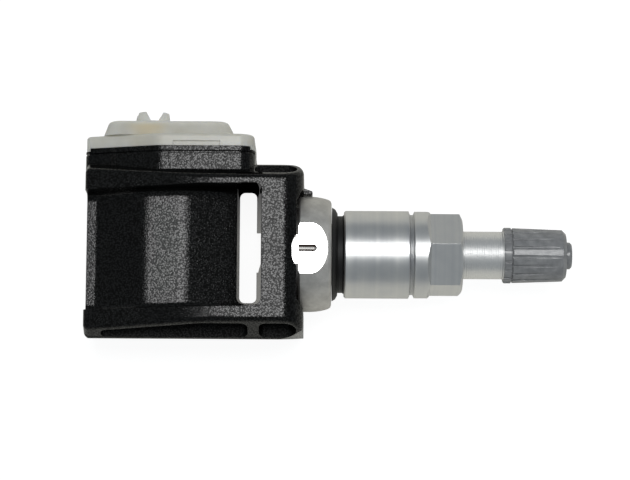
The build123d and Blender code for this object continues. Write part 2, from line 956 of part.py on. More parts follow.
# Cap: a moulded cup with grip ribs, a notched ring and a boss on its end
with BuildPart() as cap:
    cap_ring_end_x = cap_open_x + cap_ring_length
    turned(
        (
            (cap_open_x, 0),
            (cap_open_x, cap_ring_radius - cap_notch_depth / 2),
            (cap_open_x + cap_notch_depth / 2, cap_ring_radius),
            (cap_ring_end_x - cap_notch_depth / 2, cap_ring_radius),
            (cap_ring_end_x, cap_root_radius - cap_groove_depth),
            (cap_ring_end_x + cap_notch_depth / 2, cap_root_radius),
            (cap_end_x - cap_end_chamfer, cap_tip_radius),
            (cap_end_x, cap_tip_radius - cap_end_chamfer),
            (cap_end_x, cap_boss_radius),
            (cap_boss_x - cap_notch_depth, cap_boss_radius),
            (cap_boss_x, cap_boss_radius - cap_notch_depth),
            (cap_boss_x, 0),
        )
    )
    with BuildSketch(Plane.YZ.offset(cap_ring_end_x)):
        with PolarLocations(cap_root_radius + cap_groove_depth, cap_rib_count):
            RectangleRounded(4 * cap_groove_depth, cap_groove_width, cap_groove_width / 4)
    extrude(amount=far, mode=Mode.SUBTRACT)
    with BuildSketch(Plane.YZ.offset(cap_open_x)):
        with PolarLocations(cap_ring_radius, cap_rib_count, start_angle=180 / cap_rib_count):
            Rectangle(cap_notch_depth, cap_groove_width)
    extrude(amount=cap_ring_length, mode=Mode.SUBTRACT)
    with BuildSketch(Plane.YZ.offset(cap_open_x)):
        Circle(thread_radius + running_gap)
    extrude(amount=cap_bore_end_x - cap_open_x, mode=Mode.SUBTRACT)
cap.part.label = "cap"

# Lid: a welded cover with a hollow plateau, a locating rib and a fenced air port
with BuildPart() as lid:
    with BuildSketch(level(tower_top_y)):
        tower_outline(lid_inset)
    upward(lid_thickness)
    fillet(lid.faces().sort_by(Axis.Y)[-1].edges(), lid_edge_radius)
    for end_x, side in ((tower_left_x, 1), (tower_right_x, -1)):
        with BuildSketch(level(tower_top_y - lid_skirt)):
            tower_outline(lid_inset)
            with BuildSketch(level(tower_top_y - lid_skirt), mode=Mode.INTERSECT):
                with Locations((end_x, 0)):
                    Rectangle(2 * (lid_skirt_length - running_gap), far)
        upward(lid_skirt)
    with BuildSketch(level(lid_top_y)):
        with Locations(((plateau_left_x + plateau_right_x) / 2, (plateau_front_z + plateau_back_z) / 2)):
            RectangleRounded(
                plateau_right_x - plateau_left_x,
                plateau_front_z - plateau_back_z,
                plateau_corner_radius,
            )
    top_left_x = plateau_left_x + plateau_left_lean
    top_right_x = plateau_right_x - plateau_right_lean
    with BuildSketch(level(plateau_top_y)):
        with Locations(((top_left_x + top_right_x) / 2, (plateau_front_z + plateau_back_z) / 2)):
            RectangleRounded(
                top_right_x - top_left_x,
                plateau_front_z - plateau_back_z - 2 * plateau_side_lean,
                plateau_corner_radius - plateau_side_lean,
            )
    loft()
    fillet(lid.faces().sort_by(Axis.Y)[-1].edges(), plateau_edge_radius)
    with BuildSketch(level(plateau_top_y)):
        with Locations((port_x, port_z)):
            Circle(port_ring_radius)
            Circle(port_ring_radius - port_ring_wall, mode=Mode.SUBTRACT)
    upward(port_ring_height)
    for turn in (radians(port_turn_deg), radians(port_turn_deg + 90)):
        across = Plane(
            origin=(port_x, plateau_top_y, port_z),
            x_dir=(sin(turn), 0, -cos(turn)),
            z_dir=(cos(turn), 0, sin(turn)),
        )
        with BuildSketch(across):
            with BuildLine():
                Polyline(
                    (-port_groove_low_half, port_groove_floor),
                    (port_groove_low_half, port_groove_floor),
                    (port_groove_high_half, port_ring_height),
                    (port_groove_high_half, port_ring_height + wall),
                    (-port_groove_high_half, port_ring_height + wall),
                    (-port_groove_high_half, port_ring_height),
                    close=True,
                )
            make_face()
        extrude(amount=port_ring_radius + wall, both=True, mode=Mode.SUBTRACT)
    tips = lid.faces().filter_by(lambda f: f.center().Y > plateau_top_y + port_ring_height - running_gap)
    fillet(tips.edges(), port_tip_radius)
    with BuildSketch(level(tower_top_y - far)):
        with Locations((port_x, port_z)):
            Circle(port_hole_radius)
    upward(2 * far, mode=Mode.SUBTRACT)
    with BuildSketch(level(tower_top_y - lid_skirt)):
        with Locations(((plateau_left_x + plateau_right_x) / 2, (plateau_front_z + plateau_back_z) / 2)):
            RectangleRounded(
                plateau_right_x - plateau_left_x - 4 * lid_wall,
                plateau_front_z - plateau_back_z - 4 * lid_wall,
                plateau_corner_radius - lid_wall,
            )
    upward(lid_skirt + lid_thickness + plateau_height - lid_wall, mode=Mode.SUBTRACT)
    with BuildSketch(level(tower_top_y - lid_rib_height)):
        tower_outline(wall + fit_gap)
        with BuildSketch(level(tower_top_y - lid_rib_height), mode=Mode.SUBTRACT):
            tower_outline(wall + fit_gap + lid_wall)
    upward(lid_rib_height)
    with BuildSketch(level(tower_top_y)):
        with Locations(((lid_window_left_x + lid_window_right_x) / 2, tower_front_z - lid_inset)):
            Rectangle(lid_window_right_x - lid_window_left_x, 2 * lid_window_depth)
    upward(lid_window_height, mode=Mode.SUBTRACT)
lid.part.label = "lid"

# Circuit board: it lies on the tower's shelf, under the lid
with BuildPart() as circuit_board:
    with BuildSketch(level(shelf_y)):
        tower_outline(wall + fit_gap)
    upward(board_thickness)
circuit_board.part.label = "circuit_board"

# Pressure sensor: a square package with a short inlet under the port
with BuildPart() as pressure_sensor:
    with BuildSketch(level(board_top_y)):
        with Locations((port_x, port_z)):
            RectangleRounded(sensor_side, sensor_side, sensor_side / 20)
    upward(sensor_height)
    with BuildSketch(level(board_top_y + sensor_height)):
        with Locations((port_x, port_z)):
            Circle(sensor_nozzle_radius)
    upward(sensor_nozzle_height)
    with BuildSketch(level(board_top_y + sensor_height / 2)):
        with Locations((port_x, port_z)):
            Circle(sensor_nozzle_radius / 2)
    upward(far, mode=Mode.SUBTRACT)
pressure_sensor.part.label = "pressure_sensor"

# Port seal: a silicone sleeve from the sensor up to the plateau's underside
sensor_top_y = board_top_y + sensor_height
with BuildPart() as port_seal:
    with BuildSketch(level(sensor_top_y)):
        with Locations((port_x, port_z)):
            Circle(port_seal_radius)
            Circle(sensor_nozzle_radius + running_gap, mode=Mode.SUBTRACT)
    upward(plateau_top_y - lid_wall - sensor_top_y)
port_seal.part.label = "port_seal"

# Control chip, crystal and capacitor on the board's upper side
with BuildPart() as control_chip:
    with BuildSketch(level(board_top_y)):
        with Locations((chip_x, chip_z)):
            RectangleRounded(chip_side, chip_side, chip_side / 20)
    upward(chip_height)
control_chip.part.label = "control_chip"

with BuildPart() as crystal:
    with BuildSketch(level(board_top_y)):
        with Locations((crystal_x, crystal_z)):
            RectangleRounded(crystal_length, crystal_width, crystal_width / 8)
    upward(crystal_height)
crystal.part.label = "crystal"

with BuildPart() as capacitor:
    with BuildSketch(level(board_top_y)):
        with Locations((capacitor_x, capacitor_z)):
            RectangleRounded(capacitor_width, capacitor_length, capacitor_width / 20)
    upward(capacitor_height)
capacitor.part.label = "capacitor"

# Wake-up coil under the board: a flanged ferrite core and its winding
with BuildPart() as coil_core:
    with BuildSketch(Plane.YZ.offset(coil_x - coil_length / 2)):
        with Locations((shelf_y - coil_height / 2, coil_z)):
            Rectangle(coil_height, coil_width)
    extrude(amount=coil_length)
    with BuildSketch(Plane.YZ.offset(coil_x - coil_length / 2 + coil_flange)):
        with Locations((shelf_y - coil_height / 2, coil_z)):
            Rectangle(coil_height, coil_width)
            Rectangle(coil_height - coil_flange, coil_width - coil_flange, mode=Mode.SUBTRACT)
    extrude(amount=coil_length - 2 * coil_flange, mode=Mode.SUBTRACT)
coil_core.part.label = "coil_core"

with BuildPart() as coil_winding:
    with BuildSketch(Plane.YZ.offset(coil_x - coil_length / 2 + coil_flange)):
        with Locations((shelf_y - coil_height / 2, coil_z)):
            RectangleRounded(
                coil_height - coil_winding_inset,
                coil_width - coil_winding_inset,
                coil_flange / 4,
            )
            Rectangle(coil_height - coil_flange, coil_width - coil_flange, mode=Mode.SUBTRACT)
    extrude(amount=coil_length - 2 * coil_flange)
coil_winding.part.label = "coil_winding"

# Antenna: a bent brass strap that hangs from the board
with BuildPart() as antenna:
    with BuildSketch(Plane.XY.offset(strap_z - strap_width / 2)):
        with BuildLine():
            FilletPolyline(
                (strap_left_x, shelf_y),
                (strap_left_x, strap_low_y),
                (strap_right_x, strap_low_y),
                (strap_right_x, shelf_y),
                (strap_right_x - strap_thickness, shelf_y),
                (strap_right_x - strap_thickness, strap_low_y + strap_thickness),
                (strap_left_x + strap_thickness, strap_low_y + strap_thickness),
                (strap_left_x + strap_thickness, shelf_y),
                radius=(
                    0,
                    strap_bend_radius,
                    strap_bend_radius,
                    0,
                    0,
                    strap_bend_radius - strap_thickness,
                    strap_bend_radius - strap_thickness,
                    0,
                ),
                close=True,
            )
        make_face()
    extrude(amount=strap_width)
antenna.part.label = "antenna"

# Battery: a button cell with a stepped lid, lying against the back wall
battery_x = (tower_inner_left_x + cavity_right_x) / 2
battery_y = cavity_low_y + battery_low_gap + battery_radius
battery_back_z = cavity_back_z + tab_thickness
with BuildPart() as battery:
    with BuildSketch(Plane.XY.offset(battery_back_z)):
        with Locations((battery_x, battery_y)):
            Circle(battery_radius)
    extrude(amount=battery_thickness - battery_step)
    fillet(battery.edges(), battery_edge)
    with BuildSketch(Plane.XY.offset(battery_back_z)):
        with Locations((battery_x, battery_y)):
            Circle(battery_step_radius)
    extrude(amount=battery_thickness)
battery.part.label = "battery"


def tab(contact_z, side):
    """A tab flat on one face of the battery, bent up to the board's underside."""
    tab_start_y = battery_y + battery_radius - tab_overlap
    with BuildSketch(Plane.XY.offset(contact_z)) as contact:
        with Locations((battery_x + side * tab_width, tab_start_y)):
            Rectangle(tab_width, shelf_y - tab_start_y, align=(Align.CENTER, Align.MIN))
    extrude(contact.sketch, amount=tab_thickness)


with BuildPart() as battery_tab_back:
    tab(cavity_back_z, 1)
battery_tab_back.part.label = "battery_tab_back"

with BuildPart() as battery_tab_front:
    tab(battery_back_z + battery_thickness, -1)
battery_tab_front.part.label = "battery_tab_front"

pieces = (
    housing,
    lid,
    circuit_board,
    pressure_sensor,
    port_seal,
    control_chip,
    crystal,
    capacitor,
    coil_core,
    coil_winding,
    antenna,
    battery,
    battery_tab_back,
    battery_tab_front,
    valve_stem,
    hollow_screw,
    grommet,
    nut_washer,
    rim_nut,
    core_barrel,
    core_gasket,
    core_pin,
    core_seal,
    core_spring,
    cap,
    cap_seal,
)
os.makedirs("parts", exist_ok=True)
for piece in pieces:
    export_step(piece.part, f"parts/{piece.part.label}.step")
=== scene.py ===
from math import pi, radians

import bpy
import numpy as np
from mathutils import Matrix, Vector


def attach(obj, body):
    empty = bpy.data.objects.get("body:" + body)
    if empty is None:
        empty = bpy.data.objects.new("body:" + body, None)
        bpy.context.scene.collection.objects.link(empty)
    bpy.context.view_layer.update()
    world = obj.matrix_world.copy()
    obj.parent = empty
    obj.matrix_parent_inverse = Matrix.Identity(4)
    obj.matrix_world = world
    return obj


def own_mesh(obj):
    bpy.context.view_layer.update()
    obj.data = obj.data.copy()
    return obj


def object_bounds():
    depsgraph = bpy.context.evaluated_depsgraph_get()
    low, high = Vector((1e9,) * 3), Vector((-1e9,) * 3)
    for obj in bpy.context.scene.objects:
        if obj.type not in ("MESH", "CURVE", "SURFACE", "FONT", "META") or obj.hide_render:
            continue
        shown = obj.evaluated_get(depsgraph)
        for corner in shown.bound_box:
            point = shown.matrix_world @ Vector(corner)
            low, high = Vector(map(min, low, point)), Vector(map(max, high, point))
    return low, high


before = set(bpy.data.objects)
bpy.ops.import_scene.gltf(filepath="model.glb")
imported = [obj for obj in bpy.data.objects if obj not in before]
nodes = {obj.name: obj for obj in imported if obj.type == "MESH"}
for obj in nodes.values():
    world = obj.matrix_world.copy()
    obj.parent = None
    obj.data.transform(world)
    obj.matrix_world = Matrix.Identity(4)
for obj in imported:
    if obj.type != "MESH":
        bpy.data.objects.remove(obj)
scene = bpy.context.scene
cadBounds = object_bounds()
mm = 0.001
print("frame loaded:", len(nodes), "nodes")

# Lengths in the dictionaries are millimetres on the part's own axes: X along the valve, Y towards the
# lid, Z up from the table. A span is the part of a pattern's range over which a look changes.
fromTo = ("From Min", "From Max", "To Min", "To Max")  # a Map Range node turns the first two into the others
edgeSamples = 6  # rays that look for an edge to round


def linear(hexColour):
    # an sRGB hex colour as linear red, green, blue and full alpha
    parts = [int(hexColour[i:i + 2], 16) / 255 for i in (1, 3, 5)]
    return tuple(c / 12.92 if c <= 0.04045 else ((c + 0.055) / 1.055) ** 2.4 for c in parts) + (1.0,)


def add(tree, kind, settings=None, values=None, links=None):
    # adds one node: its settings, the values on its sockets, and the sockets that feed it
    node = tree.nodes.new("ShaderNode" + kind)
    for key, value in (settings or {}).items():
        setattr(node, key, value)
    for key, value in (values or {}).items():
        node.inputs[key].default_value = value
    for key, source in (links or {}).items():
        tree.links.new(source.outputs[0] if hasattr(source, "outputs") else source, node.inputs[key])
    return node


def newMaterial(name):
    # an empty material, and the piece's own coordinates in millimetres
    material = bpy.data.materials.new(name)
    material.use_nodes = True
    tree = material.node_tree
    tree.nodes.clear()
    own = add(tree, "TexCoord").outputs["Object"]
    place = add(tree, "Mapping", {}, {"Scale": (1 / mm, 1 / mm, 1 / mm)}, {"Vector": own})
    return material, tree, place


def blended(tree, pattern, span, colours):
    # the first colour where the pattern is under the span, the second where it is over it
    share = add(tree, "MapRange", {}, dict(zip(fromTo, span)), {"Value": pattern})
    mix = add(tree, "Mix", {"data_type": "RGBA"}, {"A": linear(colours[0]), "B": linear(colours[1])},
              {"Factor": share})
    return mix.outputs["Result"]


def inside(tree, split, box):
    # 1 inside a box and 0 outside it; the box names the axes that bound it, each with its two ends
    share = None
    for axis, (low, high) in box.items():
        between = add(tree, "Math", {"operation": "COMPARE"}, {1: (low + high) / 2, 2: (high - low) / 2},
                      {0: split.outputs[axis]})
        if share is None:
            share = between
        else:
            share = add(tree, "Math", {"operation": "MULTIPLY"}, {}, {0: share, 1: between})
    return share


grainedPa = {
    "colours": ("#070707", "#0c0c0b"), "cloud": 8.333, "cloudSpan": (0.35, 0.7), "ior": 1.52, "edge": 0.16,
    "grain": 0.27, "softness": 0.4, "fineness": 1.6, "fineShare": 0.5, "depth": 0.03,
    "rough": (0.12, 0.2), "roughSpan": (0.3, 0.7),
    "glint": (0.11, 0.43), "glintSpan": (0.62, 0.28),  # how much the pits and the peaks mirror
    "pocketHalf": 11.0, "pocketFloor": {"Z": (3.8, 4.1)}, "pocketRough": 0.75,
    "slotTop": {"X": (-16.55, -12.25), "Y": (10.35, 12.25), "Z": (-13.5, 9.2)},
    "slotSide": {"X": (-13.75, -12.25), "Y": (-9.55, 10.35), "Z": (-13.5, 9.2)}, "slotRough": 0.05,
}


def makeGrainedPolyamide(name, look):
    # glass-filled black PA moulded in a spark-eroded tool: the face glitters in small grains where
    # it mirrors a light, and is nearly black elsewhere
    material, tree, place = newMaterial(name)
    cells = add(tree, "TexVoronoi", {"feature": "SMOOTH_F1"},
                {"Scale": 1 / look["grain"], "Smoothness": look["softness"]}, {"Vector": place})
    fine = add(tree, "TexNoise", {}, {"Scale": look["fineness"] / look["grain"], "Detail": 1.0},
               {"Vector": place})
    cloud = add(tree, "TexNoise", {}, {"Scale": 1 / look["cloud"], "Detail": 3.0}, {"Vector": place})
    height = add(tree, "Mix", {}, {"Factor": look["fineShare"]}, {"A": cells.outputs["Distance"], "B": fine})
    edge = add(tree, "Bevel", {"samples": edgeSamples}, {"Radius": look["edge"] * mm})
    bump = add(tree, "Bump", {}, {"Distance": look["depth"] * mm}, {"Height": height, "Normal": edge})
    skin = add(tree, "MapRange", {}, dict(zip(fromTo, look["roughSpan"] + look["rough"])), {"Value": fine})
    # the pits between the grains swallow the light
    glint = add(tree, "MapRange", {"interpolation_type": "SMOOTHSTEP"},
                dict(zip(fromTo, look["glintSpan"] + look["glint"])), {"Value": cells.outputs["Distance"]})
    # the floors of the flank pockets are left dull from the tool
    split = add(tree, "SeparateXYZ", {}, {}, {"Vector": place})
    out = add(tree, "Math", {"operation": "ABSOLUTE"}, {}, {0: split.outputs["Y"]})
    outer = add(tree, "Math", {"operation": "GREATER_THAN"}, {1: look["pocketHalf"]}, {0: out})
    floor = inside(tree, split, look["pocketFloor"])
    dull = add(tree, "Math", {"operation": "MULTIPLY"}, {}, {0: outer, 1: floor})
    grained = add(tree, "Mix", {}, {"B": look["pocketRough"]}, {"Factor": dull, "A": skin})
    # the slot's walls are smooth from the mould's moving core: the one beside the valve mirrors the table
    # at a glancing angle, and the one under the lid is in the dark
    side = inside(tree, split, look["slotSide"])
    top = inside(tree, split, look["slotTop"])
    rough = add(tree, "Mix", {}, {"B": look["slotRough"]}, {"Factor": side, "A": grained})
    mirror = add(tree, "Mix", {}, {"B": 1.0}, {"Factor": side, "A": glint})
    level = add(tree, "Mix", {}, {"B": 0.0}, {"Factor": top, "A": mirror})
    smooth = add(tree, "NewGeometry").outputs["Normal"]
    normal = add(tree, "Mix", {"data_type": "VECTOR"}, {}, {"Factor": side, "A": bump, "B": smooth})
    shader = add(tree, "BsdfPrincipled", {}, {"IOR": look["ior"]},
                 {"Base Color": blended(tree, cloud, look["cloudSpan"], look["colours"]), "Roughness": rough,
                  "Specular IOR Level": level, "Normal": normal.outputs["Result"]})
    add(tree, "OutputMaterial", {}, {}, {"Surface": shader})
    return material


naturalPa = {
    "colours": ("#ebe9e0", "#dedbcf"), "cloud": 4.0, "cloudSpan": (0.35, 0.65), "ior": 1.53, "rough": 0.34,
    "grain": 0.35, "depth": 0.008, "strength": 0.5, "edge": 0.12,
    "clear": 0.14, "milk": 0.5, "milkDepth": 1.3, "milkTint": (1.0, 0.92, 0.75),
    "thin": "#fbf8ee", "thinSpan": (21.8, 20.3),  # the ring round the port is paler, above these heights
    "amber": "#f0d48c", "glowX": -31.2, "glowZ": 0.4, "glowSpan": (5.6, 2.6), "glow": (0.0, 0.6),
}


def makeNaturalPolyamide(name, look):
    # unfilled natural PA, laser-welded: milky, a little see-through, with a soft satin skin;
    # the amber seal under the port shines through the thin wall round it
    material, tree, place = newMaterial(name)
    cloud = add(tree, "TexNoise", {}, {"Scale": 1 / look["cloud"], "Detail": 3.0}, {"Vector": place})
    skin = add(tree, "TexNoise", {}, {"Scale": 1 / look["grain"], "Detail": 3.0}, {"Vector": place})
    centred = add(tree, "Mapping", {}, {"Location": (-look["glowX"], 0, -look["glowZ"]), "Scale": (1, 0, 1)},
                  {"Vector": place})
    away = add(tree, "VectorMath", {"operation": "LENGTH"}, {}, {"Vector": centred}).outputs["Value"]
    near = add(tree, "MapRange", {"interpolation_type": "SMOOTHSTEP"},
               dict(zip(fromTo, look["glowSpan"] + look["glow"])), {"Value": away})
    split = add(tree, "SeparateXYZ", {}, {}, {"Vector": place})
    low = add(tree, "MapRange", {"interpolation_type": "SMOOTHSTEP"}, dict(zip(fromTo, look["thinSpan"])),
              {"Value": split.outputs["Y"]})
    glow = add(tree, "Math", {"operation": "MULTIPLY"}, {}, {0: near, 1: low})
    plain = blended(tree, cloud, look["cloudSpan"], look["colours"])
    amber = add(tree, "Mix", {"data_type": "RGBA"}, {"B": linear(look["amber"])},
                {"Factor": glow, "A": plain})
    colour = add(tree, "Mix", {"data_type": "RGBA"}, {"A": linear(look["thin"])},
                 {"Factor": low, "B": amber.outputs["Result"]})
    edge = add(tree, "Bevel", {"samples": edgeSamples}, {"Radius": look["edge"] * mm})
    bump = add(tree, "Bump", {}, {"Strength": look["strength"], "Distance": look["depth"] * mm},
               {"Height": skin, "Normal": edge})
    shader = add(tree, "BsdfPrincipled", {},
                 {"IOR": look["ior"], "Roughness": look["rough"], "Transmission Weight": look["clear"],
                  "Subsurface Weight": look["milk"], "Subsurface Radius": look["milkTint"],
                  "Subsurface Scale": look["milkDepth"] * mm},
                 {"Base Color": colour.outputs["Result"], "Normal": bump})
    add(tree, "OutputMaterial", {}, {}, {"Surface": shader})
    return material


turnedAlu = {
    "colours": ("#d9dadb", "#e7e7e5"), "rough": (0.32, 0.4), "span": (0.35, 0.65), "edge": 0.06,
    "band": 1.111, "cloud": 2.5, "cloudShare": 0.35,
    "feed": 0.11, "smear": 0.015, "depth": 0.004, "strength": 0.6,
    "ridged": {"X": (11.45, 12.5)}, "ridgePitch": 0.36, "ridgeDepth": 0.05,
}


def makeTurnedAluminium(name, look):
    # aluminium turned on a lathe: fine rings from the tool's feed, drawn a little coarser than real,
    # and two small ridges in the parting groove
    material, tree, place = newMaterial(name)
    along = add(tree, "Mapping", {}, {"Scale": (1, look["smear"], look["smear"])}, {"Vector": place})
    rings = add(tree, "TexNoise", {}, {"Scale": 1 / look["feed"], "Detail": 3.0, "Roughness": 0.7},
                {"Vector": along})
    bands = add(tree, "TexNoise", {}, {"Scale": 1 / look["band"], "Detail": 2.0}, {"Vector": along})
    cloud = add(tree, "TexNoise", {}, {"Scale": 1 / look["cloud"], "Detail": 3.0}, {"Vector": place})
    mix = add(tree, "Mix", {}, {"Factor": look["cloudShare"]}, {"A": bands, "B": cloud})
    rough = add(tree, "MapRange", {}, dict(zip(fromTo, look["span"] + look["rough"])), {"Value": mix})
    split = add(tree, "SeparateXYZ", {}, {}, {"Vector": place})
    turns = add(tree, "Math", {"operation": "MULTIPLY"}, {1: 2 * pi / look["ridgePitch"]},
                {0: split.outputs["X"]})
    wave = add(tree, "Math", {"operation": "SINE"}, {}, {0: turns})
    groove = inside(tree, split, look["ridged"])
    ridges = add(tree, "Math", {"operation": "MULTIPLY"}, {}, {0: wave, 1: groove})
    edge = add(tree, "Bevel", {"samples": edgeSamples}, {"Radius": look["edge"] * mm})
    ridged = add(tree, "Bump", {}, {"Distance": look["ridgeDepth"] * mm}, {"Height": ridges, "Normal": edge})
    bump = add(tree, "Bump", {}, {"Strength": look["strength"], "Distance": look["depth"] * mm},
               {"Height": rings, "Normal": ridged})
    shader = add(tree, "BsdfPrincipled", {}, {"Metallic": 1.0},
                 {"Base Color": blended(tree, mix, look["span"], look["colours"]), "Roughness": rough,
                  "Normal": bump})
    add(tree, "OutputMaterial", {}, {}, {"Surface": shader})
    return material


valveAlu = {
    "head": ("#c9c7c3", "#dfddd9"), "cloud": 2.0, "cloudSpan": (0.35, 0.65), "headSpan": (0.9, 1.5),
    "shaft": "#f1f1f0", "flat": "#f4f4f2", "rough": (0.56, 0.42), "flatRough": 0.1, "edge": 0.1,
    "feed": 0.38, "feedDepth": 0.021, "grain": 0.12, "grainDepth": 0.003, "strength": 0.6,
    "flatHalf": 8.52, "shelfHalf": 7.25, "shelfX": -6.41, "skin": 0.015,
    "runoutX": -4.4, "runoutRadius": 7.3, "runoutRise": 0.51,
    # the keyway colour is painted shade on the keyway's walls
    "keyway": "#756a63", "keywayX": -2.0, "keywayInner": 0.2, "keywayOuter": 0.7,
}


def makeValveAluminium(name, look):
    # forged and turned aluminium, tumbled: the head is matte, the shaft keeps the lathe's bright rings,
    # and the two flats and their steps are milled as bright as a mirror
    material, tree, place = newMaterial(name)
    split = add(tree, "SeparateXYZ", {}, {}, {"Vector": place})
    x = split.outputs["X"]
    # half the width over the milled flats at this x: level, then growing as a parabola over the
    # run-out, and less on the shelf behind them
    past = add(tree, "Math", {"operation": "SUBTRACT"}, {1: look["runoutX"]}, {0: x})
    forward = add(tree, "Math", {"operation": "MAXIMUM"}, {1: 0.0}, {0: past})
    square = add(tree, "Math", {"operation": "MULTIPLY"}, {}, {0: forward, 1: forward})
    rise = add(tree, "Math", {"operation": "MULTIPLY_ADD"},
               {1: look["runoutRise"] / look["runoutRadius"], 2: look["flatHalf"]}, {0: square})
    behind = add(tree, "Math", {"operation": "LESS_THAN"}, {1: look["shelfX"]}, {0: x})
    floor = add(tree, "Math", {"operation": "MULTIPLY_ADD"}, {1: look["shelfHalf"] - look["flatHalf"]},
                {0: behind, 2: rise})
    out = add(tree, "Math", {"operation": "ABSOLUTE"}, {}, {0: split.outputs["Z"]})
    milled = add(tree, "Math", {"operation": "COMPARE"}, {2: look["skin"]}, {0: out, 1: floor})
    # the flat's own normal, straight out along Z
    side = add(tree, "Math", {"operation": "SIGN"}, {}, {0: split.outputs["Z"]})
    straight = add(tree, "CombineXYZ", {}, {}, {"Z": side})
    turned = add(tree, "VectorTransform",
                 {"vector_type": "NORMAL", "convert_from": "OBJECT", "convert_to": "WORLD"}, {},
                 {"Vector": straight})
    shaft = add(tree, "MapRange", {}, dict(zip(fromTo, look["headSpan"])), {"Value": x})
    cloud = add(tree, "TexNoise", {}, {"Scale": 1 / look["cloud"], "Detail": 4.0, "Roughness": 0.6},
                {"Vector": place})
    matte = blended(tree, cloud, look["cloudSpan"], look["head"])
    bright = add(tree, "Mix", {"data_type": "RGBA"}, {"B": linear(look["shaft"])},
                 {"Factor": shaft, "A": matte})
    pale = add(tree, "Mix", {"data_type": "RGBA"}, {"B": linear(look["flat"])},
               {"Factor": milled, "A": bright.outputs["Result"]})
    # the keyway's two walls get painted shade, a darker colour: sunk under the flats, near the axis, behind
    # its end
    across = add(tree, "Math", {"operation": "ABSOLUTE"}, {}, {0: split.outputs["Y"]})
    middle = add(tree, "Math", {"operation": "COMPARE"},
                 {1: (look["keywayOuter"] + look["keywayInner"]) / 2,
                  2: (look["keywayOuter"] - look["keywayInner"]) / 2}, {0: across})
    under = add(tree, "Math", {"operation": "SUBTRACT"}, {}, {0: floor, 1: out})
    sunk = add(tree, "Math", {"operation": "GREATER_THAN"}, {1: look["skin"]}, {0: under})
    back = add(tree, "Math", {"operation": "LESS_THAN"}, {1: look["keywayX"]}, {0: x})
    deep = add(tree, "Math", {"operation": "MULTIPLY"}, {}, {0: middle, 1: sunk})
    keywayShade = add(tree, "Math", {"operation": "MULTIPLY"}, {}, {0: deep, 1: back})
    colour = add(tree, "Mix", {"data_type": "RGBA"}, {"B": linear(look["keyway"])},
                 {"Factor": keywayShade, "A": pale.outputs["Result"]})
    turnedRough = add(tree, "MapRange", {}, dict(zip(fromTo, (0, 1) + look["rough"])), {"Value": shaft})
    rough = add(tree, "Mix", {}, {"B": look["flatRough"]}, {"Factor": milled, "A": turnedRough})
    phase = add(tree, "Math", {"operation": "MULTIPLY"}, {1: 2 * pi / look["feed"]}, {0: x})
    wave = add(tree, "Math", {"operation": "SINE"}, {}, {0: phase})
    rings = add(tree, "Math", {"operation": "MULTIPLY"}, {}, {0: wave, 1: shaft})
    skin = add(tree, "TexNoise", {}, {"Scale": 1 / look["grain"], "Detail": 2.0}, {"Vector": place})
    edge = add(tree, "Bevel", {"samples": edgeSamples}, {"Radius": look["edge"] * mm})
    ringed = add(tree, "Bump", {}, {"Distance": look["feedDepth"] * mm}, {"Height": rings, "Normal": edge})
    tumbled = add(tree, "Bump", {}, {"Strength": look["strength"], "Distance": look["grainDepth"] * mm},
                  {"Height": skin, "Normal": ringed})
    normal = add(tree, "Mix", {"data_type": "VECTOR"}, {}, {"Factor": milled, "A": tumbled, "B": turned})
    shader = add(tree, "BsdfPrincipled", {}, {"Metallic": 1.0},
                 {"Base Color": colour.outputs["Result"], "Roughness": rough,
                  "Normal": normal.outputs["Result"]})
    add(tree, "OutputMaterial", {}, {}, {"Surface": shader})
    return material


anyRubber = {"cloud": 2.222, "cloudSpan": (0.4, 0.75), "depth": 0.006, "strength": 0.5, "ior": 1.5,
             "waveLength": 0.314}  # what one ring of a Wave texture measures at scale 1
sealRubber = {"colours": ("#060606", "#0d0d0d"), "grain": 0.3, "rough": 0.5, "lip": 0.33, "lipDepth": 0.03}
amberSilicone = {"colours": ("#d8921c", "#e0a63c"), "grain": 0.4, "rough": 0.4, "lip": 0.6, "lipDepth": 0.0}
coreRubber = {"colours": ("#7a1f18", "#86281f"), "grain": 0.3, "rough": 0.55, "lip": 0.6, "lipDepth": 0.0}


def makeRubber(name, look):
    # compression-moulded rubber or silicone: a dull skin with a faint bloom, and on the black rubber
    # fine moulded rings
    material, tree, place = newMaterial(name)
    cloud = add(tree, "TexNoise", {}, {"Scale": 1 / anyRubber["cloud"], "Detail": 4.0}, {"Vector": place})
    skin = add(tree, "TexNoise", {}, {"Scale": 1 / look["grain"], "Detail": 2.0}, {"Vector": place})
    rings = add(tree, "TexWave", {"bands_direction": "X"}, {"Scale": anyRubber["waveLength"] / look["lip"]},
                {"Vector": place})
    ringed = add(tree, "Bump", {}, {"Distance": look["lipDepth"] * mm}, {"Height": rings})
    bump = add(tree, "Bump", {}, {"Strength": anyRubber["strength"], "Distance": anyRubber["depth"] * mm},
               {"Height": skin, "Normal": ringed})
    shader = add(tree, "BsdfPrincipled", {}, {"Roughness": look["rough"], "IOR": anyRubber["ior"]},
                 {"Base Color": blended(tree, cloud, anyRubber["cloudSpan"], look["colours"]),
                  "Normal": bump})
    add(tree, "OutputMaterial", {}, {}, {"Surface": shader})
    return material


